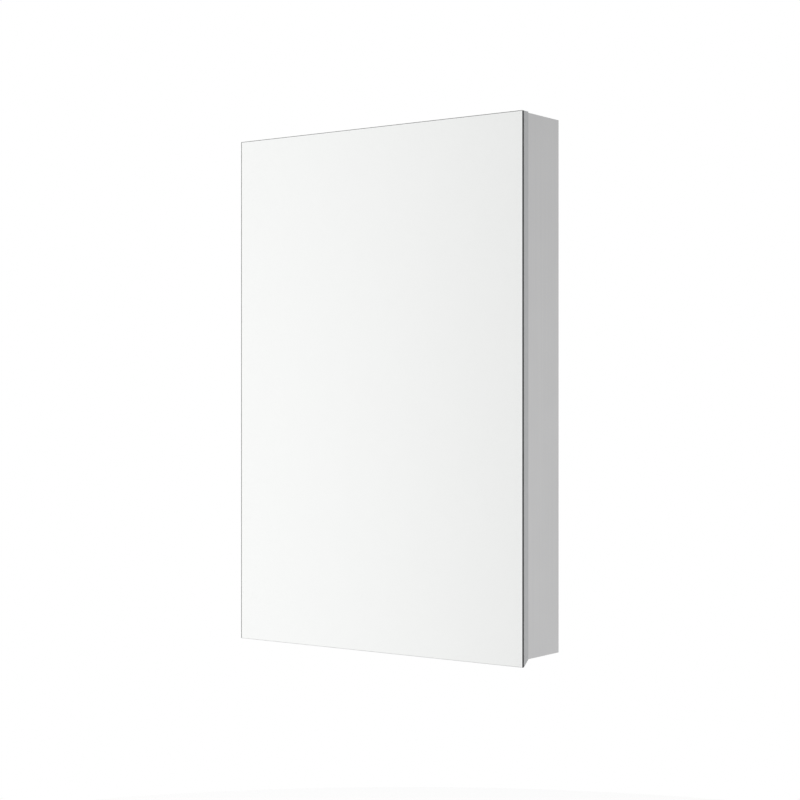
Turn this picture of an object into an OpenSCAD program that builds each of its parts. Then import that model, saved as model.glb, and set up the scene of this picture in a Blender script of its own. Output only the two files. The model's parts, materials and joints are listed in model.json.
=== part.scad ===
// Surface-mounted medicine cabinet: a mirrored door on two concealed hinges, over a body of hollow
// aluminium profiles. Millimetres. X to the right, -Y to the front, +Z up.
// The origin is the centre of the wall bolts, on the wall plane.

/* [Door] */
// Width of the door
door_w = 508; // [420:1:620]
// Height of the door
door_h = 762; // [700:1:900]
// Thickness of the panel that carries the mirrors
panel_t = 11.3; // [11.3:0.1:15]
// Thickness of the front mirror
mirror_t = 5; // [4:0.5:6]
// Thickness of the mirror inside the door
inner_mirror_t = 3; // [3:0.5:4]
// Gap between the closed door and the body
door_gap = 1.5; // [1.5:0.1:2]
// How far the door passes the body at each side
side_reveal = 1.6; // [1:0.1:3]
// How far the door passes the top of the body
top_reveal = 1; // [0:0.1:3]
// Rise of the finger pull cut under the door
pull_rise = 9.4; // [6:0.1:14]
// Ground edge of every mirror and shelf
arris = 0.6; // [0.3:0.1:1]
// Margin between the inner mirror and the inside of the body
inner_mirror_margin = 8; // [6:0.5:20]
// Left edge of the inner mirror, from the inside of the body
inner_mirror_offset = 32; // [30:0.5:60]
// Diameter of a door bumper
bumper_d = 8; // [6:0.5:10]
// Distance of a bumper from the top or bottom of the body
bumper_inset = 40; // [20:1:120]

/* [Body] */
// Depth of the body from the wall
body_d = 82; // [76:0.5:130]
// Thickness of the side, top and bottom profiles
profile_t = 14; // [12:0.5:16]
// Outer walls of a profile
wall_t = 1.5; // [1.2:0.1:2]
// Inner webs of a profile
web_t = 1.2; // [1:0.1:1.6]
// Depth of the key chamber, from the wall to its back
key_back = 28; // [25:0.5:30]
// Width of the key chamber
key_room = 24; // [20:0.5:26]
// Length of each leg of a corner key
key_leg = 34; // [20:1:60]
// Clearance of a corner key in its chamber
key_slack = 0.15; // [0.1:0.05:0.3]
// Rounding of the front edges
edge_r = 0.8; // [0.4:0.1:1.2]
// Thickness of the back sheet
back_t = 1.5; // [1:0.1:2]
// Diameter of a rivet shank
rivet_d = 3.2; // [3:0.1:4]
// Spacing of the rivets along the back sheet, about which they are spread evenly
rivet_pitch = 150; // [100:5:200]

/* [Wall rails] */
// Height of a wall rail
rail_h = 36; // [30:1:50]
// Thickness of a wall rail
rail_t = 4.5; // [3:0.1:6]
// Spacing of the wall bolts across
bolt_x = 406.4; // [300:0.1:406.4]
// Distance of the wall bolts from the top or bottom of the body
bolt_inset = 55.8; // [46:0.1:90]
// Diameter of a wall bolt hole
bolt_d = 6.5; // [5:0.1:9]

/* [Shelves and back mirror] */
// Thickness of a glass shelf
shelf_t = 5; // [4:0.5:6]
// Spacing of the shelves
shelf_pitch = 192; // [160:32:192]
// Gap at each end of a shelf
shelf_slack = 1.5; // [1:0.1:3]
// Gap between the back mirror and a shelf
shelf_back_gap = 1.5; // [1:0.1:4]
// Gap between a shelf and the inner mirror of the closed door
shelf_front_gap = 5; // [3:0.5:20]
// Corner radius of a shelf
shelf_r = 4; // [2:0.5:8]
// Spacing of the shelf pin holes
hole_pitch = 32; // [24:1:32]
// Holes above and below each shelf
holes_each_way = 2; // [1:1:2]
// Diameter of a shelf pin hole
pin_hole_d = 5; // [4:0.1:6]
// Length of a shelf pin inside the profile
pin_in = 9; // [6:0.5:10]
// Reach of a shelf pin under the glass
pin_reach = 9; // [7:0.5:12]
// Distance of the rear pin holes from the wall
rear_row = 19; // [16:0.5:20]
// Distance of the front pin holes from the front of the body
front_row = 18; // [14:0.5:20]
// Thickness of the back mirror
back_mirror_t = 3; // [3:0.5:4]
// Gap in height between the back mirror and each wall rail
rail_gap = 8; // [2:1:20]

/* [Hinges] */
// Distance of a hinge from the top or bottom of the door
hinge_inset = 90; // [80:1:140]
// Diameter of the hinge cup
cup_d = 35; // [35:0.5:36]
// Depth of the hinge cup
cup_depth = 10.1; // [10.1:0.1:10.8]
// Distance of the cup from the edge of the door
cup_edge = 3; // [3:0.1:3.5]
// Wall of the cup
cup_wall = 0.8; // [0.6:0.1:0.9]
// Clearance of the cup in its bore
cup_clear = 0.1; // [0.05:0.05:0.2]
// Thickness of the cup's flange
flange_t = 0.7; // [0.5:0.1:0.8]
// Spacing of the cup screws
cup_screw_z = 48; // [46:0.5:52]
// Offset of the cup screws from the cup's centre
cup_screw_offset = 6; // [5:0.5:9]
// Distance of the plate screws from the front of the body
plate_setback = 37; // [35:0.5:40]
// Spacing of the plate screws
plate_screw_z = 32; // [30:0.5:36]
// Length of the arm behind the front of the body
arm_back = 64; // [60:0.5:66]
// Thickness of the link plates
link_t = 1.6; // [1.2:0.1:1.8]
// Gap between neighbouring plates of the hinge
layer_gap = 0.3; // [0.2:0.05:0.4]
// Thickness of the arm's cheeks and the cup's ears
cheek_t = 1.6; // [1.2:0.1:2]
// Width of the outer link
outer_link_w = 2.6; // [2.2:0.1:2.8]
// Width of the inner link
inner_link_w = 2.8; // [2.4:0.1:3]
// Diameter of the arm pins
arm_pin_d = 2.5; // [2:0.1:2.6]
// Diameter of the cup pin that the outer link turns on
cup_pin_d = 2; // [1.8:0.1:2.2]
// Diameter of the cup studs in the inner link's slot
stud_d = 1.8; // [1.6:0.1:1.8]
// Running clearance round a pin
pin_clear = 0.05; // [0.03:0.01:0.08]
// Clearance of a stud across the inner link's slot
slot_clear = 0.3; // [0.3:0.05:0.4]

/* [Hidden] */
$fn = 48;
eps = 0.01;

// Body, worked out from the door that covers it
body_w = door_w - 2 * side_reveal;
body_h = door_h - top_reveal - pull_rise;
body_half = [body_w / 2, body_h / 2];
inside_half = [body_half.x - profile_t, body_half.y - profile_t];
back_front = rail_t + back_t;
mirror_front = back_front + back_mirror_t;
bolt_z = body_h - 2 * bolt_inset;
key_front = key_back + key_room;
door_top = body_half.y + top_reveal;
door_bottom = -body_half.y - pull_rise;

// Hinges: places in the plan of a hinge are [u, v], u from the body's left face to the right and v
// from the body's front plane to the front
hinge_zs = [door_bottom + hinge_inset, door_top - hinge_inset];
door_edge_u = -side_reveal;
cup_u = door_edge_u + cup_edge + cup_d / 2;
outer_arm_pivot_in = 12;
outer_arm_pivot_back = 3.5;
inner_arm_pivot_in = 20;
inner_arm_pivot_back = 10.5;
cup_pivot_in = 8.1;
outer_cup_pivot_deep = 6;
inner_cup_pivot_deep = 1.8;
outer_arm_pivot = [profile_t + outer_arm_pivot_in, -outer_arm_pivot_back];
inner_arm_pivot = [profile_t + inner_arm_pivot_in, -inner_arm_pivot_back];
outer_cup_pivot = [door_edge_u + cup_pivot_in, door_gap + outer_cup_pivot_deep];
inner_cup_pivot = [door_edge_u + cup_pivot_in, door_gap + inner_cup_pivot_deep];
slot_reach = 1.6;
slot_ends = [inner_cup_pivot + [0, -0.2], inner_cup_pivot + [slot_reach, -1]];
outer_link_rise = 6;
inner_link_rise = 8;
rib_half = 1.2;
outer_layer = [rib_half + layer_gap, rib_half + layer_gap + link_t];
inner_layer = [outer_layer[1] + layer_gap, outer_layer[1] + layer_gap + link_t];
cheek_layer = [inner_layer[1] + layer_gap, inner_layer[1] + layer_gap + cheek_t];
eye_wall = 1;
slot_wall = 0.7;
hub_wall = 1.5;
fixed_clear = 0.03;

// Hinge arm and its mounting plate
plate_t = 2.5;
arm_low_u = profile_t + plate_t;
arm_web_t = 1.4;
arm_nose_r = 3.6;
arm_flat_v = -38;
arm_knee_v = -32;
arm_rise = 17;
arm_crest_start = 6;
arm_crest_len = 2;
arm_top_u = profile_t + arm_rise - arm_web_t / 2;
arm_crest_u = inner_arm_pivot.x + arm_nose_r - arm_web_t / 2;
arm_crest_v = inner_arm_pivot.y - arm_crest_start - arm_crest_len;
arm_spine = [[arm_crest_u, arm_crest_v + arm_crest_len], [arm_crest_u, arm_crest_v],
             [arm_top_u, arm_flat_v], [arm_top_u, -arm_back]];
arm_screw_d = 4;
arm_screw_edge = 6;
arm_screw_pitch = 12;
arm_screw_vs = [arm_screw_edge - arm_back, arm_screw_edge + arm_screw_pitch - arm_back];
block_edge = 2;
block_len = 19;
block_drop = 3.5;
block_vs = [block_edge - arm_back, block_edge + block_len - arm_back];
block_top_u = arm_top_u - block_drop;
block_half = cheek_layer[0] - 0.2;
wing_r = 6;
screw_head_t = 1.8;
plate_screw_d = 3.5;
plate_screw_in = 9;
cup_screw_d = 3.2;
cup_screw_in = 8;
cup_flange_rim = 1;
cup_wing_w = 13;
cup_lug_r = 2.4;
cup_notch = 2.4;
spring_t = 0.8;
spring_half = 3;
spring_offset = arm_web_t / 2 + spring_t / 2 + 0.15;

// Body fittings
sheet_slack = 0.5;
rivet_head_t = 1.1;
rivet_tail = 1.5;
shelf_seat = 2;
pin_gap = 0.3;
shelf_zs = [-shelf_pitch, 0, shelf_pitch];
shelf_depth_y = [mirror_front + shelf_back_gap, body_d + door_gap - inner_mirror_t - shelf_front_gap];
pin_rows = [rear_row, body_d - front_row];
pin_d = pin_hole_d - 2 * pin_clear;
pin_paddle_t = 1.6;

// Door, from its back to its front
panel_back = body_d + door_gap;
panel_front = panel_back + panel_t;
door_mid = (door_top + door_bottom) / 2;
inner_mirror_left = -inside_half.x + inner_mirror_offset;
inner_mirror_right = inside_half.x - inner_mirror_margin;

// Cross-section of a body profile: x from the outside to the inside, y from the wall to the front
module profile_section() {
    difference() {
        union() {
            square([profile_t, body_d - edge_r]);
            translate([edge_r, body_d - 2 * edge_r])
                square([profile_t - 2 * edge_r, 2 * edge_r]);
            for (x = [edge_r, profile_t - edge_r])
                translate([x, body_d - edge_r])
                    circle(edge_r);
        }
        translate([wall_t, -eps])
            square([profile_t, back_front + eps]);
        chamber(back_front + wall_t, key_back - web_t);
        chamber(key_back, key_front);
        chamber(key_front + web_t, body_d - wall_t);
    }
}

// One hollow of the profile, between two distances from the wall
module chamber(from, to) {
    translate([wall_t, from])
        square([profile_t - 2 * wall_t, to - from]);
}

// A profile of the given half length along Z, mitred at both ends, outer face on X = 0
module mitred_profile(half) {
    intersection() {
        translate([0, 0, -half])
            mirror([0, 1, 0])
                linear_extrude(2 * half)
                    profile_section();
        translate([0, 1, 0])
            rotate([90, 0, 0])
                linear_extrude(body_d + 2)
                    polygon([[0, -half], [profile_t, profile_t - half],
                             [profile_t, half - profile_t], [0, half]]);
    }
}

module pin_holes(side) {
    for (shelf = shelf_zs, step = [-holes_each_way : holes_each_way], row = pin_rows)
        translate([side * (inside_half.x - eps), -row, shelf + step * hole_pitch])
            rotate([0, side * 90, 0])
                cylinder(d = pin_hole_d, h = wall_t + 2 * eps);
}

module left_side() {
    color("#b9bbbd")
        difference() {
            translate([-body_half.x, 0, 0])
                mitred_profile(body_half.y);
            pin_holes(-1);
            frame_rivet_bores();
            plate_screw_places()
                cylinder(d = plate_screw_d + 2 * fixed_clear, h = plate_screw_in + 2);
        }
}

module right_side() {
    color("#b9bbbd")
        difference() {
            translate([body_half.x, 0, 0])
                mirror([1, 0, 0])
                    mitred_profile(body_half.y);
            pin_holes(1);
            frame_rivet_bores();
        }
}

module top_side() {
    color("#b9bbbd")
        difference() {
            translate([0, 0, body_half.y])
                rotate([0, 90, 0])
                    mitred_profile(body_half.x);
            frame_rivet_bores();
        }
}

module bottom_side() {
    color("#b9bbbd")
        difference() {
            translate([0, 0, -body_half.y])
                rotate([0, -90, 0])
                    mitred_profile(body_half.x);
            frame_rivet_bores();
        }
}

// A cast key in each corner, one leg in each of the two profiles
module corner_keys() {
    thick = profile_t - 2 * wall_t - 2 * key_slack;
    inset = wall_t + key_slack;
    color("#8f9296")
        for (x = [0, 1], z = [0, 1])
            mirror([x, 0, 0])
                mirror([0, 0, z])
                    translate([body_half.x - inset, -key_back - key_slack, body_half.y - inset])
                        rotate([90, 0, 0])
                            linear_extrude(key_room - 2 * key_slack)
                                polygon([[0, 0], [-key_leg, 0], [-key_leg, -thick], [-thick, -thick],
                                         [-thick, -key_leg], [0, -key_leg]]);
}

module on_wall_axis(x, y, z) {
    translate([x, -y, z])
        rotate([90, 0, 0])
            children();
}

module wall_bolt_places() {
    for (x = [-bolt_x / 2, bolt_x / 2], z = [-bolt_z / 2, bolt_z / 2])
        on_wall_axis(x, 0, z)
            children();
}

// Rivets that hold the back sheet on the rear webs of the profiles
module back_rivet_places() {
    x_edge = body_half.x - profile_t / 2;
    z_edge = body_half.y - profile_t / 2;
    for (x = [-x_edge, x_edge], z = spread(bolt_z - rail_h))
        on_wall_axis(x, back_front, z)
            children();
    for (x = spread(2 * inside_half.x), z = [-z_edge, z_edge])
        on_wall_axis(x, back_front, z)
            children();
}

// Places of rivets about rivet_pitch apart, with half a space at each end of a room centred on 0
function spread(room) =
    let (count = round(room / rivet_pitch), space = room / count)
    [for (k = [0 : count - 1]) (k + 0.5) * space - room / 2];

// Rivets that hold the ends of the wall rails, through the back sheet, on the side profiles
module rail_rivet_places() {
    for (x = [-1, 1], z = [-bolt_z / 2, bolt_z / 2], step = [-rail_h / 4, rail_h / 4])
        on_wall_axis(x * (body_half.x - profile_t / 2), 0, z + step)
            children();
}

module rivet_bore() {
    cylinder(d = rivet_d + 2 * fixed_clear, h = 2 * (back_front + wall_t + rivet_tail), center = true);
}

module frame_rivet_bores() {
    rail_rivet_places()
        rivet_bore();
    back_rivet_places()
        rivet_bore();
}

module back_panel() {
    half = [body_half.x - wall_t - sheet_slack, body_half.y - wall_t - sheet_slack];
    color("#d9dadb")
        difference() {
            translate([-half.x, -back_front, -half.y])
                cube([2 * half.x, back_t, 2 * half.y]);
            wall_bolt_places()
                cylinder(d = bolt_d, h = 2 * back_front + 2, center = true);
            frame_rivet_bores();
        }
}

// Pan head on the sheet, shank through the sheet and the web
module back_rivets() {
    color("#c9cbcd")
        back_rivet_places() {
            translate([0, 0, -back_t])
                cylinder(d = rivet_d, h = back_t + wall_t + rivet_tail);
            translate([0, 0, -back_t - rivet_head_t])
                cylinder(d1 = 1.4 * rivet_d, d2 = 2 * rivet_d, h = rivet_head_t);
        }
}

module wall_rail(z) {
    half = body_half.x - wall_t - sheet_slack;
    color("#a9acae")
        difference() {
            translate([-half, -rail_t, z - rail_h / 2])
                cube([2 * half, rail_t, rail_h]);
            wall_bolt_places()
                cylinder(d = bolt_d, h = 2 * back_front + 2, center = true);
            rail_rivet_places() {
                rivet_bore();
                cylinder(d1 = 2 * (rivet_d + fixed_clear), d2 = rivet_d + 2 * fixed_clear, h = rivet_d / 2);
            }
        }
}

module upper_rail() {
    wall_rail(bolt_z / 2);
}

module lower_rail() {
    wall_rail(-bolt_z / 2);
}

module rail_rivets() {
    color("#c9cbcd")
        rail_rivet_places() {
            cylinder(d = rivet_d, h = back_front + wall_t + rivet_tail);
            cylinder(d1 = 2 * rivet_d, d2 = rivet_d, h = rivet_d / 2);
        }
}

// A plate of width x, thickness y and height z, centred on X and Z, with its long edges ground
module ground_plate(w, t, h) {
    intersection() {
        translate([0, 0, -h / 2])
            linear_extrude(h)
                ground_section(w, t);
        rotate([0, 90, 0])
            translate([0, 0, -w / 2])
                linear_extrude(w)
                    ground_section(h, t);
    }
}

// Outline across a ground plate, from Y = -t to Y = 0
module ground_section(w, t) {
    polygon([[-w / 2, -arris], [-w / 2, arris - t], [arris - w / 2, -t], [w / 2 - arris, -t],
             [w / 2, arris - t], [w / 2, -arris], [w / 2 - arris, 0], [arris - w / 2, 0]]);
}

module back_mirror() {
    color("#e6ebee")
        translate([0, -back_front, 0])
            ground_plate(2 * (inside_half.x - sheet_slack), back_mirror_t, bolt_z - rail_h - 2 * rail_gap);
}

module shelf(z) {
    half = inside_half.x - shelf_slack;
    back = shelf_depth_y[0];
    front = shelf_depth_y[1];
    color("#bfe0d6", 0.5)
        translate([0, 0, z + shelf_seat])
            linear_extrude(shelf_t)
                union() {
                    translate([-half, -front + shelf_r])
                        square([2 * half, front - back - shelf_r]);
                    translate([-half + shelf_r, -front])
                        square([2 * (half - shelf_r), 2 * shelf_r]);
                    for (x = [shelf_r - half, half - shelf_r])
                        translate([x, shelf_r - front])
                            circle(shelf_r);
                }
}

module shelf_low() {
    shelf(shelf_zs[0]);
}

module shelf_middle() {
    shelf(shelf_zs[1]);
}

module shelf_high() {
    shelf(shelf_zs[2]);
}

// Peg in the profile, collar on its face, and a flat paddle under the glass
module shelf_pins() {
    color("#dfe3e4")
        for (side = [0, 1], z = shelf_zs, row = pin_rows)
            mirror([side, 0, 0])
                translate([inside_half.x, -row, z])
                    rotate([0, -90, 0]) {
                        translate([0, 0, -pin_in])
                            cylinder(d = pin_d, h = pin_in);
                        cylinder(d = 1.6 * pin_hole_d, h = shelf_slack - pin_gap);
                        translate([shelf_seat - pin_paddle_t, -0.8 * pin_hole_d, 0])
                            cube([pin_paddle_t, 1.6 * pin_hole_d, pin_reach]);
                    }
}

// The plan of each hinge: X is u, Y is v, and Z is measured from the middle of the hinge
module each_hinge() {
    for (z = hinge_zs)
        translate([-body_half.x, -body_d, z])
            mirror([0, 1, 0])
                children();
}

// Draws a plan outline between two heights, above and below the middle of the hinge
module both_layers(layer) {
    for (side = [0, 1])
        mirror([0, 0, side])
            translate([0, 0, layer[0]])
                linear_extrude(layer[1] - layer[0])
                    children();
}

module middle_layer(half) {
    translate([0, 0, -half])
        linear_extrude(2 * half)
            children();
}

// Arc from p to q that stands out from their chord by rise, to the right of the way from p to q
function arc_r(p, q, rise) = (norm(q - p) ^ 2 / 4 + rise ^ 2) / (2 * rise);
function right_of(p, q) = [q.y - p.y, p.x - q.x] / norm(q - p);
function arc_centre(p, q, rise) = (p + q) / 2 - right_of(p, q) * (arc_r(p, q, rise) - rise);

module arc_bar(p, q, rise, w) {
    r = arc_r(p, q, rise);
    c = arc_centre(p, q, rise);
    from = atan2(p.y - c.y, p.x - c.x);
    to = atan2(q.y - c.y, q.x - c.x);
    translate(c)
        intersection() {
            difference() {
                circle(r + w / 2);
                circle(r - w / 2);
            }
            polygon([[0, 0], for (k = [0 : 4]) 2 * r * [cos(from + (to - from) * k / 4),
                                                        sin(from + (to - from) * k / 4)]]);
        }
}

// Straight bar from p to q with round ends, a hair wider than the straight so that none meets it on a tangent
module round_bar(p, q, w) {
    for (end = [p, q])
        translate(end)
            circle(d = w);
    translate(p)
        rotate(atan2(q.y - p.y, q.x - p.x))
            translate([0, eps - w / 2])
                square([norm(q - p), w - 2 * eps]);
}

module strip(points, t) {
    for (k = [1 : len(points) - 1])
        round_bar(points[k - 1], points[k], t);
}

module pin_at(p, d, half) {
    translate([p.x, p.y, -half])
        cylinder(d = d, h = 2 * half);
}

// Outer link: two plates on one hub, curved round the edge of the side
module outer_links() {
    hub_d = arm_pin_d + 2 * hub_wall;
    color("#c3c6c9")
        each_hinge()
            difference() {
                union() {
                    both_layers(outer_layer) {
                        arc_bar(outer_arm_pivot, outer_cup_pivot, outer_link_rise, outer_link_w);
                        translate(outer_cup_pivot)
                            circle(d = cup_pin_d + 2 * eye_wall);
                    }
                    pin_at(outer_arm_pivot, hub_d, outer_layer[1]);
                }
                pin_at(outer_arm_pivot, arm_pin_d + 2 * pin_clear, cheek_layer[1]);
                pin_at(outer_cup_pivot, cup_pin_d + 2 * pin_clear, cheek_layer[1]);
            }
}

// Inner link: two plates on one hub, with a slot for the cup's studs
module inner_links() {
    hub_d = arm_pin_d + 2 * hub_wall;
    slot_d = stud_d + 2 * slot_clear;
    color("#b4b8bb")
        each_hinge()
            difference() {
                union() {
                    both_layers(inner_layer) {
                        arc_bar(inner_arm_pivot, inner_cup_pivot, inner_link_rise, inner_link_w);
                        round_bar(slot_ends[0], slot_ends[1], slot_d + 2 * slot_wall);
                    }
                    pin_at(inner_arm_pivot, hub_d, inner_layer[1]);
                }
                pin_at(inner_arm_pivot, arm_pin_d + 2 * pin_clear, cheek_layer[1]);
                middle_layer(cheek_layer[1])
                    round_bar(slot_ends[0], slot_ends[1], slot_d);
            }
}

// Side of the arm: the spine that the web follows, filled down to the mounting plate
module arm_cheek() {
    strip(arm_spine, arm_web_t);
    round_bar(outer_arm_pivot, inner_arm_pivot, 2 * arm_nose_r);
    polygon(concat([[arm_low_u, -arm_back], [arm_low_u, arm_knee_v], outer_arm_pivot - [arm_nose_r, 0],
                    outer_arm_pivot, inner_arm_pivot], arm_spine));
}

// Arm: a channel of two cheeks and a web, hooked up at the nose to carry both links
module hinge_arms() {
    color("#c3c6c9")
        each_hinge()
            difference() {
                union() {
                    both_layers(cheek_layer)
                        arm_cheek();
                    middle_layer(cheek_layer[0] + eps)
                        strip(arm_spine, arm_web_t);
                }
                translate([0, -arm_back - arm_web_t, -cheek_layer[1] - 1])
                    cube([arm_crest_u, arm_web_t, 2 * cheek_layer[1] + 2]);
                pin_at(outer_arm_pivot, arm_pin_d + 2 * fixed_clear, cheek_layer[1] + 1);
                pin_at(inner_arm_pivot, arm_pin_d + 2 * fixed_clear, cheek_layer[1] + 1);
                arm_screw_places()
                    cylinder(d = arm_screw_d + 2 * fixed_clear, h = arm_web_t + 2, center = true);
            }
}

// Pins with a flat head on each cheek of the arm
module arm_pins() {
    head_t = 0.6;
    color("#d5d8da")
        each_hinge()
            for (pivot = [outer_arm_pivot, inner_arm_pivot]) {
                pin_at(pivot, arm_pin_d, cheek_layer[1] + head_t);
                both_layers([cheek_layer[1], cheek_layer[1] + head_t])
                    translate(pivot)
                        circle(d = 1.6 * arm_pin_d);
            }
}

// On the outer face of the arm's web, with Z towards the side of the body
module arm_screw_places() {
    for (v = arm_screw_vs)
        translate([arm_top_u + arm_web_t / 2, v, 0])
            rotate([0, -90, 0])
                children();
}

// Pan head below Z = 0 with a cross recess, shank above it
module pan_screw(d, length) {
    difference() {
        translate([0, 0, -screw_head_t])
            cylinder(d1 = 1.3 * d, d2 = 1.9 * d, h = screw_head_t);
        for (turn = [0, 90])
            rotate(turn)
                translate([-0.45 * d, -0.11 * d, -screw_head_t - 1])
                    cube([0.9 * d, 0.22 * d, 1 + 0.6 * screw_head_t]);
    }
    cylinder(d = d, h = length);
}

module arm_screws() {
    color("#8d9094")
        each_hinge()
            arm_screw_places()
                pan_screw(arm_screw_d, arm_top_u + arm_web_t / 2 - arm_low_u - 1);
}

// Leaf spring under the web, whose tip bears near the inner link's hub and holds the door shut
module closing_springs() {
    reach = arm_pin_d / 2 + hub_wall + spring_t / 2 + layer_gap;
    tip_u = arm_crest_u - spring_offset;
    tip_v = inner_arm_pivot.y - sqrt(reach ^ 2 - (tip_u - inner_arm_pivot.x) ^ 2);
    color("#6f7378")
        each_hinge()
            middle_layer(spring_half)
                strip([[tip_u, tip_v], [tip_u, arm_crest_v],
                       [arm_top_u - spring_offset, arm_flat_v + 0.2],
                       [arm_top_u - spring_offset, arm_flat_v - 4]], spring_t);
}

// On the plate's wings, with Z into the side of the body
module plate_screw_places() {
    each_hinge()
        for (z = [-1, 1])
            translate([arm_low_u, -plate_setback, z * plate_screw_z / 2])
                rotate([0, -90, 0])
                    children();
}

// Mounting plate: two wings and a base on the side, and a block that the arm slides over
module hinge_plates() {
    color("#b4b8bb")
        difference() {
            each_hinge() {
                translate([profile_t, 0, 0])
                    rotate([90, 0, 90])
                        linear_extrude(plate_t) {
                            round_bar([-plate_setback, -plate_screw_z / 2],
                                      [-plate_setback, plate_screw_z / 2], 2 * wing_r);
                            translate([block_vs[0], -cheek_layer[1]])
                                square([-plate_setback - block_vs[0], 2 * cheek_layer[1]]);
                        }
                translate([profile_t, block_vs[0], -block_half])
                    cube([block_top_u - profile_t, block_vs[1] - block_vs[0], 2 * block_half]);
            }
            plate_screw_places()
                cylinder(d = plate_screw_d + 2 * fixed_clear, h = 3 * plate_t, center = true);
            each_hinge()
                arm_screw_places()
                    cylinder(d = arm_screw_d + 2 * fixed_clear, h = arm_top_u - profile_t - 1);
        }
}

module plate_screws() {
    color("#8d9094")
        plate_screw_places()
            pan_screw(plate_screw_d, plate_t + plate_screw_in);
}

// On the back of the door at the cup's wings, with Z into the panel
module cup_screw_places() {
    each_hinge()
        for (z = [-1, 1])
            translate([cup_u + cup_screw_offset, door_gap - flange_t, z * cup_screw_z / 2])
                rotate([-90, 0, 0])
                    children();
}

// Cup axis, with Z from the back of the door to its front
module cup_axis(v) {
    translate([cup_u, v, 0])
        rotate([-90, 0, 0])
            children();
}

// Block in the cup, from its wall to just past a pivot, from a depth to its floor, between two heights
module cup_lug(layer, pivot, back_v) {
    intersection() {
        translate([door_edge_u, back_v, layer[0]])
            cube([pivot.x + cup_lug_r - door_edge_u, door_gap + cup_depth - back_v, layer[1] - layer[0]]);
        cup_axis(door_gap)
            cylinder(d = cup_d, h = cup_depth);
    }
}

// Round pan with a winged flange, notched at the rim where the links pass over it when the door is open
module cup_pan() {
    rim_v = door_gap - flange_t;
    difference() {
        cup_axis(rim_v) {
            cylinder(d = cup_d, h = flange_t + cup_depth);
            linear_extrude(flange_t) {
                circle(d = cup_d + 2 * cup_flange_rim);
                round_bar([cup_screw_offset, -cup_screw_z / 2],
                          [cup_screw_offset, cup_screw_z / 2], cup_wing_w);
            }
        }
        cup_axis(rim_v - 1)
            cylinder(d = cup_d - 2 * cup_wall, h = 1 + flange_t + cup_depth - cup_wall);
        translate([door_edge_u, rim_v - 1, -cheek_layer[0]])
            cube([inner_cup_pivot.x - door_edge_u, 1 + flange_t + cup_notch, 2 * cheek_layer[0]]);
    }
}

// Hinge cup: the pan with two ears for the studs and a rib for the pin
module hinge_cups() {
    color("#b4b8bb")
        difference() {
            each_hinge()
                difference() {
                    union() {
                        cup_pan();
                        for (side = [0, 1])
                            mirror([0, 0, side])
                                cup_lug(cheek_layer, inner_cup_pivot, door_gap);
                        cup_lug([-rib_half, rib_half], outer_cup_pivot, outer_cup_pivot.y - cup_lug_r);
                    }
                    pin_at(inner_cup_pivot, stud_d + 2 * fixed_clear, cheek_layer[1] + 1);
                    pin_at(outer_cup_pivot, cup_pin_d + 2 * fixed_clear, rib_half + 1);
                }
            cup_screw_places()
                cylinder(d = cup_screw_d + 2 * fixed_clear, h = 4 * flange_t, center = true);
        }
}

module cup_pins() {
    color("#d5d8da")
        each_hinge()
            pin_at(outer_cup_pivot, cup_pin_d, outer_layer[1]);
}

module cup_studs() {
    color("#d5d8da")
        each_hinge()
            both_layers([inner_layer[0], cheek_layer[1]])
                translate(inner_cup_pivot)
                    circle(d = stud_d);
}

module cup_screws() {
    color("#8d9094")
        cup_screw_places()
            pan_screw(cup_screw_d, flange_t + cup_screw_in);
}

// Panel with the finger pull cut under its back, and bores for the cups and their screws
module door_panel() {
    color("#a3a5a7")
        difference() {
            translate([-door_w / 2, 0, 0])
                rotate([90, 0, 90])
                    linear_extrude(door_w)
                        polygon([[-panel_back, door_top], [-panel_front, door_top],
                                 [-panel_front, door_bottom], [-panel_back, door_bottom + pull_rise]]);
            each_hinge()
                cup_axis(door_gap - 1)
                    cylinder(d = cup_d + 2 * cup_clear, h = 1 + cup_depth + cup_clear);
            cup_screw_places()
                cylinder(d = cup_screw_d + 2 * fixed_clear, h = flange_t + cup_screw_in + 0.2);
        }
}

module front_mirror() {
    color("#eef1f3")
        translate([0, -panel_front, door_mid])
            ground_plate(door_w, mirror_t, door_h);
}

module inner_mirror() {
    color("#e6ebee")
        translate([(inner_mirror_left + inner_mirror_right) / 2, inner_mirror_t - panel_back, 0])
            ground_plate(inner_mirror_right - inner_mirror_left, inner_mirror_t,
                         2 * (inside_half.y - inner_mirror_margin));
}

// Soft discs that the closed door rests on
module door_bumpers() {
    bumper_t = door_gap - 0.1;
    color("#e9ecec")
        for (z = [-1, 1])
            translate([body_half.x - profile_t / 2, -panel_back, z * (body_half.y - bumper_inset)])
                rotate([-90, 0, 0])
                    cylinder(d1 = bumper_d, d2 = 0.8 * bumper_d, h = bumper_t);
}

left_side();
right_side();
top_side();
bottom_side();
corner_keys();
back_panel();
back_rivets();
upper_rail();
lower_rail();
rail_rivets();
back_mirror();
shelf_low();
shelf_middle();
shelf_high();
shelf_pins();
hinge_plates();
plate_screws();
hinge_arms();
arm_pins();
arm_screws();
closing_springs();
outer_links();
inner_links();
door_panel();
front_mirror();
inner_mirror();
hinge_cups();
cup_pins();
cup_studs();
cup_screws();
door_bumpers();
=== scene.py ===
import json
import math

import bpy
from mathutils import Matrix, Vector

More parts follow.
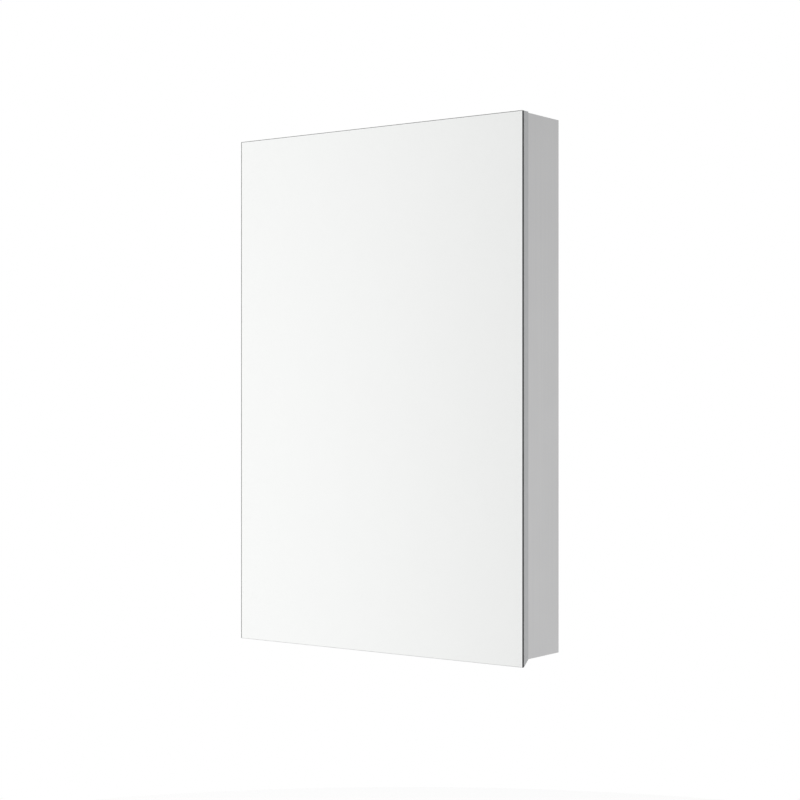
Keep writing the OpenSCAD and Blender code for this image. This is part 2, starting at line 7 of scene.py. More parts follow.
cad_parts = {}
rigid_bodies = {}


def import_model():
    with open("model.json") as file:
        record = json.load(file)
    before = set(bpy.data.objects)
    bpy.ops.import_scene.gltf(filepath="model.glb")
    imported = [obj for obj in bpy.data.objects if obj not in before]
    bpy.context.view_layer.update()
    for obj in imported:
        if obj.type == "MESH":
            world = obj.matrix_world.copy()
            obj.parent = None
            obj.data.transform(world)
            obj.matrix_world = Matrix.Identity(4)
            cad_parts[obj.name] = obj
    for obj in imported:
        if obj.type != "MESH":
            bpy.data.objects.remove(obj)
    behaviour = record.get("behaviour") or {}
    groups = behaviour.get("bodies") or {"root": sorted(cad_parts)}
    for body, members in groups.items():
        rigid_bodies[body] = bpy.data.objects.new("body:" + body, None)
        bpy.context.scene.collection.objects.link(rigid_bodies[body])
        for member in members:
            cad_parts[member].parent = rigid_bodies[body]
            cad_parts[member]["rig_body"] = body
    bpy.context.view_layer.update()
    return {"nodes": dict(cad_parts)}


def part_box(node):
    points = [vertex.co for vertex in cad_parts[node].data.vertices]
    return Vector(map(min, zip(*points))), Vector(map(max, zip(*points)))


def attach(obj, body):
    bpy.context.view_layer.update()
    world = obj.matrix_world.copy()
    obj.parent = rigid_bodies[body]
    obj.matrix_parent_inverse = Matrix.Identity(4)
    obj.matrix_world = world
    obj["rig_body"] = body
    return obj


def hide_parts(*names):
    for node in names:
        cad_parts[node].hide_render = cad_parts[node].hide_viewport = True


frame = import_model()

# A surface-mounted medicine cabinet: finishes, glass and fittings over the solids of its frame

MM = 0.001
FRONT, BACK = Vector((0, -1, 0)), Vector((0, 1, 0))
LEFT, RIGHT = Vector((-1, 0, 0)), Vector((1, 0, 0))
UP, DOWN = Vector((0, 0, 1)), Vector((0, 0, -1))
# A face whose normal comes this close to a direction looks square at it
SQUARE_ON = 0.99
# Places nearer than this are the same
TOUCHING = 0.001 * MM
# Edges that turn more than the first are broken with a bevel, those under the second look smooth
BROKEN_TURN = math.radians(30)
SMOOTH_TURN = math.radians(35)
scene = bpy.context.scene

# Sockets of a Mix node that mixes numbers, and of one that mixes colours
FACTOR, NUMBER_A, NUMBER_B, COLOUR_A, COLOUR_B = 0, 2, 3, 6, 7
COLOUR_OUT = 2


# Materials

def linear(hex_colour):
    """An sRGB colour such as #a0a0a0 as linear red, green, blue and alpha."""
    channels = [int(hex_colour[k:k + 2], 16) / 255 for k in (1, 3, 5)]
    return [c / 12.92 if c <= 0.04045 else ((c + 0.055) / 1.055) ** 2.4 for c in channels] + [1]


def add(tree, kind, inputs=None, **settings):
    """Adds a node, gives it its settings, and sets its inputs or links them."""
    node = tree.nodes.new(kind)
    for name, value in settings.items():
        setattr(node, name, value)
    for socket, value in (inputs or {}).items():
        if isinstance(value, bpy.types.NodeSocket):
            tree.links.new(value, node.inputs[socket])
        else:
            node.inputs[socket].default_value = value
    return node


def empty_tree(owner):
    """The node tree of a material or a world, cleared."""
    owner.use_nodes = True
    owner.node_tree.nodes.clear()
    return owner.node_tree


def start_material(name):
    """A new material with an empty tree, and the place of each point on the object in metres."""
    material = bpy.data.materials.new(name)
    tree = empty_tree(material)
    place = add(tree, "ShaderNodeTexCoord").outputs["Object"]
    return material, tree, place


def finish_material(material, tree, inputs):
    """Closes a material with the shader that all of them use."""
    shader = add(tree, "ShaderNodeBsdfPrincipled", inputs)
    add(tree, "ShaderNodeOutputMaterial", {"Surface": shader.outputs[0]})
    return material


def anodised_aluminium(along):
    """Extruded profile, etched satin and anodised: a soft sheen with faint die lines along its length."""
    material, tree, place = start_material("anodised_aluminium_" + along.lower())
    # Real die lines are 0.1 to 0.3 mm apart, drawn 1.5 mm apart so that they show
    line_w = 1.5 * MM
    line_run = 400 * MM
    scale = [1 / line_w] * 3
    scale["XYZ".index(along)] = 1 / line_run
    stretched = add(tree, "ShaderNodeMapping", {"Vector": place, "Scale": scale})
    lines = add(tree, "ShaderNodeTexNoise", {"Vector": stretched.outputs[0], "Scale": 1, "Detail": 3})
    # The etch leaves clouds, which change the sheen a little
    cloud_w = 70 * MM
    clouds = add(tree, "ShaderNodeTexNoise", {"Vector": place, "Scale": 1 / cloud_w, "Detail": 2})
    colour = add(tree, "ShaderNodeMix", {FACTOR: lines.outputs["Fac"], COLOUR_A: linear("#c2c2c3"),
                                         COLOUR_B: linear("#cbcbcb")}, data_type="RGBA")
    roughness = add(tree, "ShaderNodeMapRange", {"Value": clouds.outputs["Fac"], "To Min": 0.36,
                                                 "To Max": 0.44})
    bump = add(tree, "ShaderNodeBump", {"Height": lines.outputs["Fac"], "Strength": 0.25,
                                        "Distance": 0.05 * MM})
    return finish_material(material, tree, {
        "Base Color": colour.outputs[COLOUR_OUT], "Roughness": roughness.outputs[0], "Metallic": 1.0,
        "Normal": bump.outputs[0]})


def float_glass(name, tint):
    """Float glass, flat and clear, with the faint green of its iron."""
    material, tree, place = start_material(name)
    # Wiping leaves streaks
    streak_w = 40 * MM
    haze = add(tree, "ShaderNodeTexNoise", {"Vector": place, "Scale": 1 / streak_w, "Detail": 3,
                                            "Distortion": 0.8})
    roughness = add(tree, "ShaderNodeMapRange", {"Value": haze.outputs["Fac"], "To Min": 0.0,
                                                 "To Max": 0.006})
    return finish_material(material, tree, {
        "Base Color": linear(tint), "Roughness": roughness.outputs[0], "IOR": 1.52,
        "Transmission Weight": 1.0})


def uneven_finish(name, colours, roughnesses, grain, metallic=0.0, relief=0.0, **sockets):
    """A finish whose colour and roughness wander between two values; grain and relief are in mm."""
    material, tree, place = start_material(name)
    noise = add(tree, "ShaderNodeTexNoise", {"Vector": place, "Scale": 1 / (grain * MM), "Detail": 3})
    colour = add(tree, "ShaderNodeMix", {FACTOR: noise.outputs["Fac"], COLOUR_A: linear(colours[0]),
                                         COLOUR_B: linear(colours[1])}, data_type="RGBA")
    roughness = add(tree, "ShaderNodeMapRange", {
        "Value": noise.outputs["Fac"], "To Min": roughnesses[0], "To Max": roughnesses[1]})
    inputs = {"Base Color": colour.outputs[COLOUR_OUT], "Roughness": roughness.outputs[0],
              "Metallic": metallic, **sockets}
    if relief:
        inputs["Normal"] = add(tree, "ShaderNodeBump", {
            "Height": noise.outputs["Fac"], "Strength": 0.3, "Distance": relief * MM}).outputs[0]
    return finish_material(material, tree, inputs)


def galvanised_sheet():
    """Hot-dip galvanised steel: zinc crystals, each with its own grey and gloss."""
    material, tree, place = start_material("galvanised_steel")
    crystal_w = 11 * MM
    crystals = add(tree, "ShaderNodeTexVoronoi", {"Vector": place, "Scale": 1 / crystal_w})
    tones = add(tree, "ShaderNodeSeparateColor", {"Color": crystals.outputs["Color"]})
    # Each crystal is mottled
    mottle_w = 4 * MM
    clouds = add(tree, "ShaderNodeTexNoise", {"Vector": place, "Scale": 1 / mottle_w, "Detail": 4})
    mixed = add(tree, "ShaderNodeMath", {0: tones.outputs["Red"], 1: clouds.outputs["Fac"]},
                operation="MULTIPLY")
    colour = add(tree, "ShaderNodeMix", {FACTOR: mixed.outputs[0], COLOUR_A: linear("#93989b"),
                                         COLOUR_B: linear("#cdd1d3")}, data_type="RGBA")
    roughness = add(tree, "ShaderNodeMapRange", {"Value": tones.outputs["Green"], "To Min": 0.3,
                                                 "To Max": 0.5})
    bump = add(tree, "ShaderNodeBump", {"Height": tones.outputs["Blue"], "Strength": 0.2,
                                        "Distance": 0.02 * MM})
    return finish_material(material, tree, {
        "Base Color": colour.outputs[COLOUR_OUT], "Roughness": roughness.outputs[0], "Metallic": 1.0,
        "Normal": bump.outputs[0]})


aluminium_upright = anodised_aluminium("Z")
aluminium_level = anodised_aluminium("X")
clear_glass = float_glass("clear_float_glass", "#fdfefe")
shelf_glass = float_glass("shelf_float_glass", "#eef7f3")
# Silver laid wet on the glass: an even mirror, bright and a little warm
silver = uneven_finish("wet_laid_silver", ("#fbfbfa", "#fcfcfb"), (0.006, 0.012), 40, metallic=1.0)
# Dark satin paint rolled on the edge, and on the back of the layers behind the silver; its near-black on
# the edge is painted shade, for the dark look of a glass edge where no light comes out
edge_paint_and_painted_shade = uneven_finish("rolled_edge_paint_and_painted_shade", ("#151817", "#1d201f"), (0.28, 0.36), 8,
                            **{"Specular IOR Level": 0.25})
# The ground and polished arris shows the silver behind it, and catches the room like a narrow mirror
mirror_arris = uneven_finish("polished_glass_arris", ("#f4f5f5", "#fafafa"), (0.05, 0.1), 8,
                             metallic=1.0)
# The polished edge of a shelf gathers the green of the glass over its whole depth
shelf_edge = uneven_finish("polished_shelf_edge", ("#7fb7a2", "#8ac1ad"), (0.08, 0.14), 6,
                           **{"Transmission Weight": 0.35, "IOR": 1.52})
# Lacquer sprayed on the door core: satin grey with an orange peel 3 mm wide
lacquer = uneven_finish("sprayed_lacquer", ("#a2a3a4", "#a7a8a9"), (0.38, 0.46), 3, relief=0.04)
# Powder coat on the back sheet: pale grey, nearly matt and finely pebbled
coated_sheet = uneven_finish("powder_coated_steel", ("#d8dadb", "#dddfe0"), (0.45, 0.55), 2, relief=0.05)
galvanised = galvanised_sheet()
# Zinc cast in a die: dull grey, with the clouds of the cold mould in its skin
zinc_cast = uneven_finish("die_cast_zinc", ("#8b8f93", "#979b9f"), (0.45, 0.55), 2, metallic=1.0)
# Drawn and headed aluminium: pale, with a soft shine
rivet_metal = uneven_finish("drawn_aluminium", ("#c4c7c9", "#cfd1d3"), (0.3, 0.4), 1, metallic=1.0)
# Nickel plated in a barrel over pressed steel: a warm grey that shines, with faint rubbed patches
nickel = uneven_finish("nickel_plated_steel", ("#c2beb6", "#cbc8c1"), (0.2, 0.3), 3, metallic=1.0)
# Zinc plate on turned and pressed steel: cooler than the nickel, and duller
zinc = uneven_finish("zinc_plated_steel", ("#b4b9be", "#c0c4c8"), (0.28, 0.38), 2, metallic=1.0)
# Cold-headed steel screws, plated thinly: a darker grey
screw_metal = uneven_finish("cold_headed_steel", ("#a4a7aa", "#b2b4b6"), (0.25, 0.35), 1, metallic=1.0)
# Spring leaf, hardened and tempered: dark with a blue cast
spring_metal = uneven_finish("tempered_spring_steel", ("#5f6369", "#6d7177"), (0.25, 0.35), 4,
                             metallic=1.0)
# Moulded polycarbonate: clear and glossy, so that the pins hardly show
clear_plastic = uneven_finish("moulded_polycarbonate", ("#eef2f2", "#f4f6f6"), (0.08, 0.14), 3,
                              **{"Transmission Weight": 0.9, "IOR": 1.58})
# Cast polyurethane: soft and milky, with a low shine
soft_plastic = uneven_finish("cast_polyurethane", ("#e4e8e8", "#edf0f0"), (0.25, 0.35), 1,
                             **{"Transmission Weight": 0.6, "IOR": 1.5})


# Pieces

def take_hold(piece):
    """Selects one piece alone, for the operators."""
    for other in list(bpy.context.selected_objects):
        other.select_set(False)
    piece.select_set(True)
    bpy.context.view_layer.objects.active = piece


def copy_node(node, name):
    """A copy of a CAD node's mesh, its loose triangles merged into whole flat faces."""
    piece = bpy.data.objects.new(name, frame["nodes"][node].data.copy())
    scene.collection.objects.link(piece)
    piece.data.materials.clear()
    take_hold(piece)
    bpy.ops.object.mode_set(mode="EDIT")
    bpy.ops.mesh.select_all(action="SELECT")
    bpy.ops.mesh.remove_doubles(threshold=0.002 * MM)
    bpy.ops.mesh.dissolve_limited(angle_limit=math.radians(0.5))
    bpy.ops.object.mode_set(mode="OBJECT")
    return piece


def soften(piece, width):
    """Breaks the sharp edges with a bevel of a width in mm, and smooths what is round."""
    take_hold(piece)
    bevel = piece.modifiers.new("edges", "BEVEL")
    bevel.width = width * MM
    bevel.segments = 2
    bevel.limit_method = "ANGLE"
    bevel.angle_limit = BROKEN_TURN
    bpy.ops.object.modifier_apply(modifier=bevel.name)
    bpy.ops.object.shade_smooth_by_angle(angle=SMOOTH_TURN)
    flat = piece.modifiers.new("flat_faces", "WEIGHTED_NORMAL")
    flat.keep_sharp = True
    bpy.ops.object.modifier_apply(modifier=flat.name)


def settle(piece, node):
    """The piece stands for a CAD node, which it hides, and rides on its body."""
    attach(piece, frame["nodes"][node]["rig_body"])
    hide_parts(node)


def paint(piece, *materials):
    """Gives a piece its materials."""
    for material in materials:
        piece.data.materials.append(material)


def coat(piece, choose):
    """Gives each face the one of the piece's materials that is chosen by its normal."""
    for face in piece.data.polygons:
        face.material_index = piece.data.materials.find(choose(face.normal).name)


def finished_copy(node, name, material, width):
    """A CAD node's own shape with broken edges, in one finish."""
    piece = copy_node(node, name)
    paint(piece, material)
    soften(piece, width)
    settle(piece, node)


def slice_of(piece, facing, depth, keep_front):
    """Cuts a piece square to the way it faces, a depth behind its front, and caps it."""
    front = max(v.co.dot(facing) for v in piece.data.vertices)
    take_hold(piece)
    bpy.ops.object.mode_set(mode="EDIT")
    bpy.ops.mesh.select_all(action="SELECT")
    bpy.ops.mesh.bisect(plane_co=facing * (front - depth), plane_no=facing, use_fill=True,
                        clear_inner=keep_front, clear_outer=not keep_front)
    bpy.ops.object.mode_set(mode="OBJECT")


def mirror_pane(node, name, facing):
    """Clear glass over its silver, then the layers that protect the silver; the edges of both are painted
    near-black, as painted shade for the dark edge of the glass.
    """
    # Drawn this near the face, the silver gives the photograph's thin dark line at the far edge
    glass_t = 1.0 * MM
    silver_film = 0.02 * MM
    glass = copy_node(node, name + "_glass")
    paint(glass, clear_glass, silver, edge_paint_and_painted_shade, mirror_arris)
    slice_of(glass, facing, glass_t, keep_front=True)

    def pane_coat(normal):
        towards = normal.dot(facing)
        if abs(towards) > SQUARE_ON:
            return clear_glass if towards > 0 else silver
        # The arris slopes to the front, and the edge behind it lies square to the face and is painted
        # near-black as painted shade
        return mirror_arris if towards > 0.3 else edge_paint_and_painted_shade

    coat(glass, pane_coat)
    # The backing fills the rest of the pane's thickness, its edge painted near-black as painted shade for
    # the dark edge of the glass
    backing = copy_node(node, name + "_backing")
    paint(backing, edge_paint_and_painted_shade)
    slice_of(backing, facing, glass_t + silver_film, keep_front=False)
    for piece in (glass, backing):
        settle(piece, node)


def glass_shelf(node, name):
    """A shelf with clear faces and green polished edges."""
    piece = copy_node(node, name)
    paint(piece, shelf_glass, shelf_edge)
    soften(piece, 0.5)
    coat(piece, lambda normal: shelf_glass if abs(normal.z) > SQUARE_ON else shelf_edge)
    settle(piece, node)


# The width of each broken edge is in mm
for node, name, slot, material, width in (
        ("left_side", "left_profile", "anodised_aluminium", aluminium_upright, 0.3),
        ("right_side", "right_profile", "anodised_aluminium", aluminium_upright, 0.3),
        ("top_side", "top_profile", "anodised_aluminium", aluminium_level, 0.3),
        ("bottom_side", "bottom_profile", "anodised_aluminium", aluminium_level, 0.3),
        ("corner_keys", "corner_angles", "cast_zinc", zinc_cast, 0.3),
        ("back_panel", "back_sheet", "back_sheet", coated_sheet, 0.2),
        ("upper_rail", "upper_wall_rail", "galvanised_steel", galvanised, 0.3),
        ("lower_rail", "lower_wall_rail", "galvanised_steel", galvanised, 0.3),
        ("hinge_plates", "mounting_plates", "nickel_steel", nickel, 0.25),
        ("hinge_arms", "arms", "nickel_steel", nickel, 0.2),
        ("arm_pins", "arm_rivet_pins", "zinc_plated", zinc, 0.15),
        ("closing_springs", "leaf_springs", "spring_steel", spring_metal, 0.1),
        ("outer_links", "long_links", "zinc_plated", zinc, 0.2),
        ("inner_links", "slotted_links", "zinc_plated", zinc, 0.2),
        ("door_panel", "door_core", "lacquered_panel", lacquer, 0.5),
        ("hinge_cups", "cups", "nickel_steel", nickel, 0.15),
        ("cup_pins", "cup_rivet_pins", "zinc_plated", zinc, 0.15),
        ("cup_studs", "cup_guide_studs", "zinc_plated", zinc, 0.15)):
    finished_copy(node, name, material, width)

mirror_pane("front_mirror", "front_mirror_pane", FRONT)
mirror_pane("back_mirror", "back_mirror_pane", FRONT)
mirror_pane("inner_mirror", "inner_mirror_pane", BACK)
for level in ("low", "middle", "high"):
    glass_shelf("shelf_" + level, "glass_shelf_" + level)


# Fasteners and small fittings, each modelled once along Z with its top at the origin

def pick(piece, kind, wanted):
    """Goes into edit mode with only those faces or edges selected whose place and way pass a test."""
    take_hold(piece)
    bpy.ops.object.mode_set(mode="OBJECT")
    mesh = piece.data
    scene.tool_settings.mesh_select_mode = (False, kind == "EDGE", kind == "FACE")
    for items in (mesh.vertices, mesh.edges, mesh.polygons):
        items.foreach_set("select", [False] * len(items))
    if kind == "FACE":
        for face in mesh.polygons:
            face.select = wanted(face.center, face.normal)
    else:
        for edge in mesh.edges:
            start, end = (mesh.vertices[k].co for k in edge.vertices)
            edge.select = wanted((start + end) / 2, (end - start).normalized())
    bpy.ops.object.mode_set(mode="EDIT")


def pick_end(piece, way):
    """Picks the flat face at the far end of a piece."""
    end = max(v.co.dot(way) for v in piece.data.vertices)
    pick(piece, "FACE", lambda place, normal: (
        normal.dot(way) > SQUARE_ON and place.dot(way) > end - TOUCHING))


def narrow(share):
    """Draws what is picked in towards the Z axis, or spreads it."""
    bpy.ops.transform.resize(value=(share, share, 1), center_override=(0, 0, 0))


def grow(way, length, taper=1.0):
    """Extrudes what is picked, and narrows or spreads its end."""
    bpy.ops.mesh.extrude_region_move(TRANSFORM_OT_translate={"value": way * length})
    if taper != 1.0:
        narrow(taper)


def disc(name, across, thickness, top=0.0):
    """A round blank whose top is at a height."""
    bpy.ops.object.select_all(action="DESELECT")
    bpy.ops.mesh.primitive_cylinder_add(vertices=32, radius=across / 2, depth=thickness,
                                        location=(0, 0, top - thickness / 2))
    return fix_blank(name)


def block(name, size, middle):
    """A square blank."""
    bpy.ops.object.select_all(action="DESELECT")
    bpy.ops.mesh.primitive_cube_add(size=1, location=middle, scale=size)
    return fix_blank(name)


def fix_blank(name):
    """Names the new primitive."""
    piece = bpy.context.active_object
    piece.name = name
    bpy.ops.object.transform_apply()
    return piece


def combine(piece, other, operation):
    """Cuts another closed piece out of this one, or fuses it on, and removes it."""
    take_hold(piece)
    join = piece.modifiers.new("combine", "BOOLEAN")
    join.operation = operation
    join.object = other
    bpy.ops.object.modifier_apply(modifier=join.name)
    bpy.data.objects.remove(other)


def finish_shape(piece, turn=SMOOTH_TURN):
    """Leaves edit mode and smooths what turns less than an angle."""
    bpy.ops.object.mode_set(mode="OBJECT")
    take_hold(piece)
    bpy.ops.object.shade_smooth_by_angle(angle=turn)
    return piece


def cross_bit(across, depth):
    """The tapered cross of a screwdriver, which cuts the recess."""
    arm_w = 0.24 * across
    point_share = 0.45
    bit = block("bit", (arm_w, arm_w, 2 * depth), (0, 0, 0))
    for way in (LEFT, RIGHT, FRONT, BACK):
        # Of the faces that look this way, the one in the middle grows into an arm
        pick(bit, "FACE", lambda place, normal: (
            normal.dot(way) > SQUARE_ON and (place - place.dot(way) * way).length < TOUCHING))
        grow(way, (across - arm_w) / 2)
    pick(bit, "FACE", lambda place, normal: normal.dot(DOWN) > SQUARE_ON)
    narrow(point_share)
    bpy.ops.object.mode_set(mode="OBJECT")
    return bit


def pan_screw(head_d, length):
    """Pan head with a cross recess, plain shank and pointed tip."""
    head_t = 1.8 * MM
    shank_d = head_d / 1.9
    tip = 0.6 * shank_d
    recess_w, recess_depth = 0.95 * shank_d, 0.65 * head_t
    screw = disc("screw", head_d, head_t)
    pick_end(screw, UP)
    bpy.ops.mesh.bevel(offset=0.6 * head_t, segments=5, affect="EDGES")
    pick_end(screw, DOWN)
    bpy.ops.mesh.inset(thickness=(head_d - shank_d) / 2)
    grow(DOWN, length - head_t - tip)
    grow(DOWN, tip, taper=0.35)
    bpy.ops.object.mode_set(mode="OBJECT")
    combine(screw, cross_bit(recess_w, recess_depth), "DIFFERENCE")
    return finish_shape(screw)


def blind_rivet(head_d, length, domed):
    """Domed or countersunk head with the broken mandrel in its middle, and the bulb at its tail."""
    shank_d = head_d / 2
    head_t = 1.1 * MM if domed else shank_d / 2
    bulb = 1.4 * MM
    rivet = disc("rivet", head_d, head_t)
    pick_end(rivet, DOWN)
    if domed:
        bpy.ops.mesh.inset(thickness=(head_d - shank_d) / 2)
    else:
        narrow(shank_d / head_d)
    grow(DOWN, length - head_t - bulb)
    grow(DOWN, 0.3 * bulb, taper=1.35)
    grow(DOWN, 0.7 * bulb, taper=0.8)
    pick_end(rivet, UP)
    if domed:
        bpy.ops.mesh.bevel(offset=0.75 * head_t, segments=4, affect="EDGES")
        pick_end(rivet, UP)
    # The hole in the head, and the end of the mandrel that broke off in it
    rim_r = max(v.co.xy.length for v in rivet.data.vertices if v.co.z > -TOUCHING)
    hole_r = 0.28 * shank_d
    hole_depth = 0.5 * MM
    bpy.ops.mesh.inset(thickness=rim_r - hole_r)
    grow(DOWN, hole_depth)
    bpy.ops.mesh.inset(thickness=0.1 * MM)
    grow(UP, hole_depth / 2, taper=0.9)
    return finish_shape(rivet)


def shelf_pin(collar_d, length):
    """Peg, collar and the tongue that the glass lies on, moulded in one."""
    reach = length / 2
    collar_t = 1.2 * MM
    peg_d = 4.9 * MM
    lead_in = 0.8 * MM
    # The top of the tongue is a hair under the glass
    tongue_t = 1.55 * MM
    tongue_bottom = 0.4 * MM
    tongue_l = reach - 0.1 * MM
    tongue_r = 2.2 * MM
    rib_drop, rib_w, rib_l = 2.4 * MM, 1.4 * MM, reach - 1.5 * MM
    rib_inset, rib_lap = 1.4 * MM, 0.1 * MM
    pin = disc("pin", collar_d, collar_t, collar_t - reach)
    pick_end(pin, UP)
    bpy.ops.mesh.bevel(offset=0.3 * MM, segments=2, affect="EDGES")
    pick_end(pin, DOWN)
    bpy.ops.mesh.inset(thickness=(collar_d - peg_d) / 2)
    grow(DOWN, reach - lead_in)
    grow(DOWN, lead_in, taper=0.8)
    bpy.ops.object.mode_set(mode="OBJECT")
    tongue = block("tongue", (tongue_t, collar_d, tongue_l),
                   (tongue_bottom + tongue_t / 2, 0, -tongue_l / 2))
    pick(tongue, "EDGE", lambda place, way: abs(way.x) > SQUARE_ON and place.z > -TOUCHING)
    bpy.ops.mesh.bevel(offset=tongue_r, segments=5, affect="EDGES")
    bpy.ops.object.mode_set(mode="OBJECT")
    # The rib under the tongue runs out towards its tip
    rib = block("rib", (rib_drop, rib_w, rib_l),
                (tongue_bottom + rib_lap - rib_drop / 2, 0, -rib_l / 2 - rib_inset))
    pick(rib, "FACE", lambda place, normal: normal.z > SQUARE_ON)
    bpy.ops.transform.resize(value=(0.15, 1, 1), center_override=(tongue_bottom, 0, 0))
    bpy.ops.object.mode_set(mode="OBJECT")
    combine(tongue, rib, "UNION")
    combine(pin, tongue, "UNION")
    return finish_shape(pin)


def bumper(across, thickness):
    """A domed pad, a hair clear of the panel that its adhesive holds it to."""
    pad = disc("pad", across, thickness - 0.05 * MM)
    pick_end(pad, UP)
    bpy.ops.mesh.bevel(offset=0.8 * thickness, segments=5, affect="EDGES")
    return finish_shape(pad, math.radians(50))


def solid_boxes(node):
    """The lowest and highest corner of each separate solid of a CAD node."""
    copy_node(node, "measured")
    bpy.ops.object.mode_set(mode="EDIT")
    bpy.ops.mesh.select_all(action="SELECT")
    bpy.ops.mesh.separate(type="LOOSE")
    bpy.ops.object.mode_set(mode="OBJECT")
    boxes = []
    for part in list(bpy.context.selected_objects):
        places = [v.co for v in part.data.vertices]
        boxes.append([Vector([furthest(p[k] for p in places) for k in range(3)])
                      for furthest in (min, max)])
        bpy.data.objects.remove(part)
    return boxes


def set_out(node, name, material, model, way=None):
    """Models a fitting to the size of a node's solids, and puts a copy at each, as one piece.

    Its head or top points the given way, or else to the middle of the cabinet.
    """
    boxes = solid_boxes(node)
    # A fitting lies along X, or along Y where it points to the front or back
    along = 1 if way in (FRONT, BACK) else 0
    size = boxes[0][1] - boxes[0][0]
    original = model(size.z, size[along])
    paint(original, material)
    copies = []
    for number, (low, high) in enumerate(boxes):
        middle = (low + high) / 2
        top_way = way or (RIGHT if middle.x < 0 else LEFT)
        place = middle + top_way * size[along] / 2
        turned = Matrix((UP, top_way.cross(UP), top_way)).transposed().to_4x4()
        # No two screws stop at the same angle, while a shelf pin always lies level
        spin = Matrix.Rotation(number * math.radians(50) if way else 0, 4, "Z")
        copy = bpy.data.objects.new(name, original.data.copy())
        scene.collection.objects.link(copy)
        copy.data.transform(Matrix.Translation(place) @ turned @ spin)
        copies.append(copy)
    bpy.data.objects.remove(original)
    take_hold(copies[0])
    for copy in copies:
        copy.select_set(True)
    bpy.ops.object.join()
    settle(copies[0], node)


set_out("plate_screws", "mounting_screws", screw_metal, pan_screw, RIGHT)
set_out("arm_screws", "adjusting_screws", screw_metal, pan_screw, RIGHT)
set_out("cup_screws", "door_screws", screw_metal, pan_screw, BACK)
set_out("back_rivets", "sheet_rivets", rivet_metal,
        lambda head_d, length: blind_rivet(head_d, length, domed=True), BACK)
set_out("rail_rivets", "wall_rail_rivets", rivet_metal,
        lambda head_d, length: blind_rivet(head_d, length, domed=False), BACK)
set_out("shelf_pins", "shelf_supports", clear_plastic, shelf_pin)
set_out("door_bumpers", "bumper_pads", soft_plastic, bumper, BACK)


# Studio

# How bright the room looks in gloss, by azimuth in degrees seen from above, low down and high up
LOW_ROOM = ((-180, 1.0), (-133, 1.0), (-112, 0.76), (-92, 0.76), (-60, 1.0), (-20, 1.0), (25, 0.97),
            (120, 0.97))
HIGH_ROOM = ((-180, 0.05), (-150, 0.95), (-112, 0.74), (-92, 0.74), (-60, 0.9), (-20, 0.7), (25, 0.28),
             (180, 0.05))
# How bright the floor looks in gloss and through glass, and so does the room beyond its rim
FLOOR_LEVEL = 0.9
CEILING_LEVEL = 0.8
# What matt surfaces get from the room
MATT_LEVEL = 0.7


def grey(level):
    """An even grey, as red, green, blue and alpha."""
    return level, level, level, 1


def studio_world():
    """White to the camera, plain to matt surfaces, and to gloss a white room with a greyer front."""
    scene.world = bpy.data.worlds.new("studio")
    tree = empty_tree(scene.world)
    path = add(tree, "ShaderNodeLightPath")
    way = add(tree, "ShaderNodeSeparateXYZ", {
        "Vector": add(tree, "ShaderNodeTexCoord").outputs["Generated"]})
    azimuth = add(tree, "ShaderNodeMath", {0: way.outputs["Y"], 1: way.outputs["X"]},
                  operation="ARCTAN2")
    turn = add(tree, "ShaderNodeMapRange", {
        "Value": azimuth.outputs[0], "From Min": -math.pi, "From Max": math.pi})
    bands = []
    for stops in (LOW_ROOM, HIGH_ROOM):
        band = add(tree, "ShaderNodeValToRGB", {"Fac": turn.outputs[0]})
        band.color_ramp.interpolation = "EASE"
        points = band.color_ramp.elements
        while len(points) < len(stops):
            points.new(0.5)
        for point, (degrees, level) in zip(points, stops):
            point.position = (degrees + 180) / 360
            point.color = grey(level)
        bands.append(band.outputs["Color"])
    # The walls change from low to high, then come the ceiling above and the far ground below
    low_room, high_room = bands
    room = low_room
    for start, end, change in ((-0.1, 0.9, high_room), (0.86, 0.99, grey(CEILING_LEVEL)),
                               (-0.16, -0.3, grey(FLOOR_LEVEL))):
        share = add(tree, "ShaderNodeMapRange", {
            "Value": way.outputs["Z"], "From Min": start, "From Max": end},
            interpolation_type="SMOOTHSTEP")
        room = add(tree, "ShaderNodeMix", {
            FACTOR: share.outputs[0], COLOUR_A: room, COLOUR_B: change},
            data_type="RGBA").outputs[COLOUR_OUT]
    reflected = add(tree, "ShaderNodeMath", {
        0: path.outputs["Is Glossy Ray"], 1: path.outputs["Is Transmission Ray"]}, operation="MAXIMUM")
    strength = add(tree, "ShaderNodeMix", {
        FACTOR: reflected.outputs[0], NUMBER_A: MATT_LEVEL, NUMBER_B: room},
        data_type="FLOAT")
    seen = add(tree, "ShaderNodeMix", {
        FACTOR: path.outputs["Is Camera Ray"], NUMBER_A: strength.outputs[0], NUMBER_B: 1.0},
        data_type="FLOAT")
    background = add(tree, "ShaderNodeBackground", {
        "Color": (1, 1, 1, 1), "Strength": seen.outputs[0]})
    add(tree, "ShaderNodeOutputWorld", {"Surface": background.outputs[0]})


def softbox(name, place, target, size, power):
    """A large square lamp that gloss and glass don't show."""
    data = bpy.data.lights.new(name, "AREA")
    data.size = size
    data.energy = power
    light = bpy.data.objects.new(name, data)
    scene.collection.objects.link(light)
    light.location = place
    light.rotation_euler = (Vector(target) - Vector(place)).to_track_quat("-Z", "Y").to_euler()
    light.visible_glossy = False
    light.visible_transmission = False


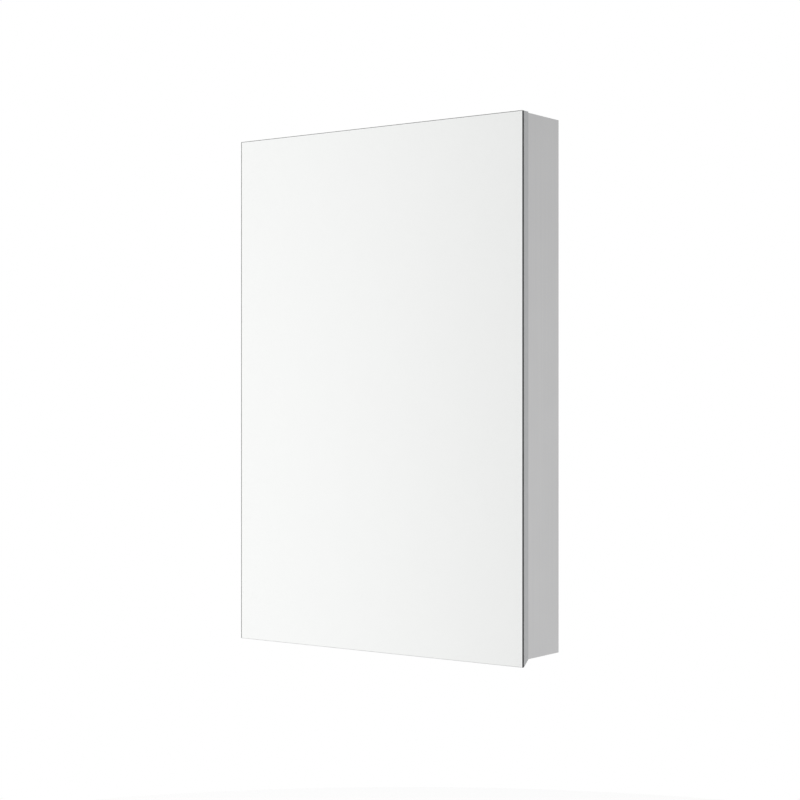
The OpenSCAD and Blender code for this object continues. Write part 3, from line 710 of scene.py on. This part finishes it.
def pale_floor():
    """A pale painted floor well below the cabinet, which gives a white ground and keeps its shadow."""
    floor_z, floor_r = -1.15, 2.5
    camera_glow = 0.38
    bpy.ops.object.select_all(action="DESELECT")
    bpy.ops.mesh.primitive_circle_add(vertices=96, radius=floor_r, fill_type="NGON",
                                      location=(0, 0, floor_z))
    floor = fix_blank("floor")
    material = bpy.data.materials.new("pale_floor_paint")
    tree = empty_tree(material)
    # It glows to the camera, so that the ground looks white with only the shadow on it
    path = add(tree, "ShaderNodeLightPath")
    glow = add(tree, "ShaderNodeMath", {0: path.outputs["Is Camera Ray"], 1: camera_glow},
               operation="MULTIPLY")
    paint_coat = add(tree, "ShaderNodeBsdfPrincipled", {
        "Base Color": linear("#e6e6e6"), "Roughness": 0.9, "Specular IOR Level": 0.0,
        "Emission Color": (1, 1, 1, 1), "Emission Strength": glow.outputs[0]})
    # Metal and glass show it as pale as the room beyond it
    reflected = add(tree, "ShaderNodeMath", {
        0: path.outputs["Is Glossy Ray"], 1: path.outputs["Is Transmission Ray"]}, operation="MAXIMUM")
    above = add(tree, "ShaderNodeMixShader", {
        0: reflected.outputs[0], 1: paint_coat.outputs[0],
        2: add(tree, "ShaderNodeEmission", {"Strength": FLOOR_LEVEL}).outputs[0]})
    # From below, the cabinet is seen through it
    both = add(tree, "ShaderNodeMixShader", {
        0: add(tree, "ShaderNodeNewGeometry").outputs["Backfacing"], 1: above.outputs[0],
        2: add(tree, "ShaderNodeBsdfTransparent").outputs[0]})
    add(tree, "ShaderNodeOutputMaterial", {"Surface": both.outputs[0]})
    paint(floor, material)


def photo_camera():
    """Stands where the photograph was taken, found from the door's front right edge and its height."""
    photo_size = 800
    focal_px = 1753
    edge_x_px = 522
    edge_top_px, edge_bottom_px = 110.0, 667.9
    turn = math.radians(36)
    low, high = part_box("front_mirror")
    depth = focal_px * (high.z - low.z) / (edge_bottom_px - edge_top_px)
    across = depth * (edge_x_px - photo_size / 2) / focal_px
    rise = depth * (photo_size / 2 - (edge_top_px + edge_bottom_px) / 2) / focal_px
    ahead = Vector((-math.sin(turn), math.cos(turn), 0))
    rightward = Vector((math.cos(turn), math.sin(turn), 0))
    edge = Vector((high.x, low.y, (low.z + high.z) / 2))
    data = bpy.data.cameras.new("camera")
    data.sensor_width = 36
    data.lens = data.sensor_width * focal_px / photo_size
    camera = bpy.data.objects.new("camera", data)
    scene.collection.objects.link(camera)
    camera.location = edge - depth * ahead - across * rightward - Vector((0, 0, rise))
    camera.rotation_euler = ahead.to_track_quat("-Z", "Y").to_euler()
    scene.camera = camera


studio_world()
pale_floor()
softbox("key_softbox", place=(-1.8, -2.6, 1.6), target=(0, 0, 0), size=2.2, power=30)
softbox("side_softbox", place=(2.2, -0.6, -1.0), target=(0.25, 0, 0), size=1.4, power=26)
photo_camera()
scene.view_settings.view_transform = "Standard"
